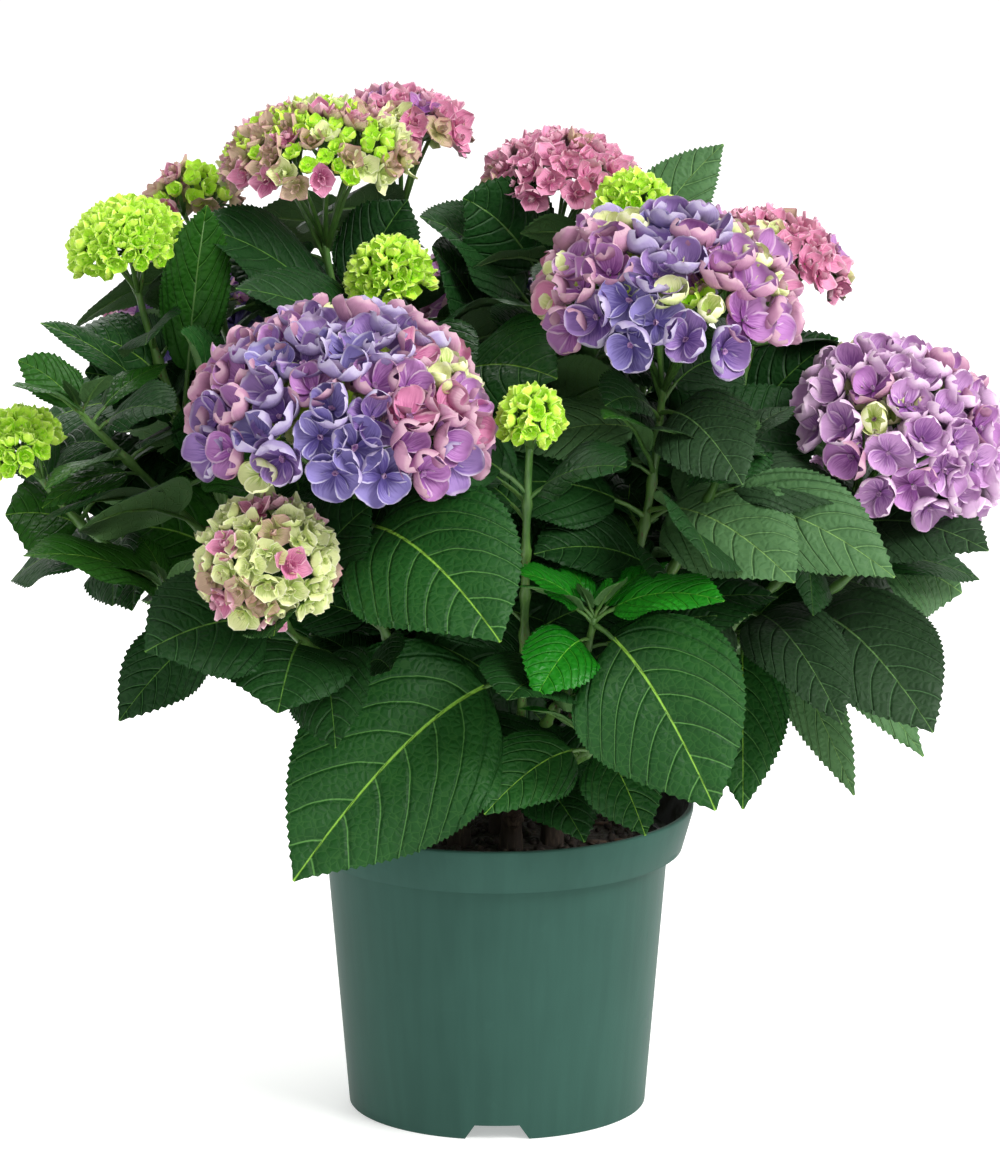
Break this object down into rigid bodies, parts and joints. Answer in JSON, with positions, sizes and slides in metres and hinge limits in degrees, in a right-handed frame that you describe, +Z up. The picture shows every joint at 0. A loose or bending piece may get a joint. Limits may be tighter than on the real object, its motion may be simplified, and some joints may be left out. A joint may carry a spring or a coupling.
{
  "type": "potted hydrangea shrub",
  "caption": "Flowering hydrangea shrub in a round plastic nursery pot: woody canes, leafy shoots and domed flower heads over a full leafy crown.",
  "frame": {"origin": "middle of the part's bounding box, on the floor that the pot stands on", "axes": "+Z up; -Y to the front, the side with the large violet flower heads; +X to the right seen from the front"},
  "size_m": [0.5936, 0.5446, 0.5831],
  "materials": {
    "pot_plastic": "satin dark green moulded plastic",
    "compost": "dark crumbly potting compost",
    "cane_bark": "brown peeling bark",
    "green_stem": "fresh green stem with small brown flecks",
    "foliage": "satin quilted green leaves with violet, lilac, pink, cream and lime flower heads"
  },
  "bodies": {
    "root": {"cane_back": "cane_bark", "cane_back_left": "cane_bark", "cane_back_right": "cane_bark", "cane_front": "cane_bark", "cane_front_left": "cane_bark", "cane_front_right": "cane_bark", "cane_left": "cane_bark", "cane_middle": "cane_bark", "cane_right": "cane_bark", "compost": "compost", "foliage_back_1": "foliage", "foliage_back_2": "foliage", "foliage_back_3": "foliage", "foliage_back_left_1": "foliage", "foliage_back_left_2": "foliage", "foliage_back_right_1": "foliage", "foliage_back_right_2": "foliage", "foliage_front_1": "foliage", "foliage_front_2": "foliage", "foliage_front_3": "foliage", "foliage_front_left_1": "foliage", "foliage_front_left_2": "foliage", "foliage_front_left_3": "foliage", "foliage_front_right_1": "foliage", "foliage_front_right_2": "foliage", "foliage_left_1": "foliage", "foliage_left_2": "foliage", "foliage_left_3": "foliage", "foliage_middle_1": "foliage", "foliage_middle_2": "foliage", "foliage_middle_3": "foliage", "foliage_right_1": "foliage", "foliage_right_2": "foliage", "foliage_right_3": "foliage", "pot": "pot_plastic", "shoot_back_1": "green_stem", "shoot_back_2": "green_stem", "shoot_back_3": "green_stem", "shoot_back_left_1": "green_stem", "shoot_back_left_2": "green_stem", "shoot_back_right_1": "green_stem", "shoot_back_right_2": "green_stem", "shoot_front_1": "green_stem", "shoot_front_2": "green_stem", "shoot_front_3": "green_stem", "shoot_front_left_1": "green_stem", "shoot_front_left_2": "green_stem", "shoot_front_left_3": "green_stem", "shoot_front_right_1": "green_stem", "shoot_front_right_2": "green_stem", "shoot_left_1": "green_stem", "shoot_left_2": "green_stem", "shoot_left_3": "green_stem", "shoot_middle_1": "green_stem", "shoot_middle_2": "green_stem", "shoot_middle_3": "green_stem", "shoot_right_1": "green_stem", "shoot_right_2": "green_stem", "shoot_right_3": "green_stem"}
  },
  "joints": []
}
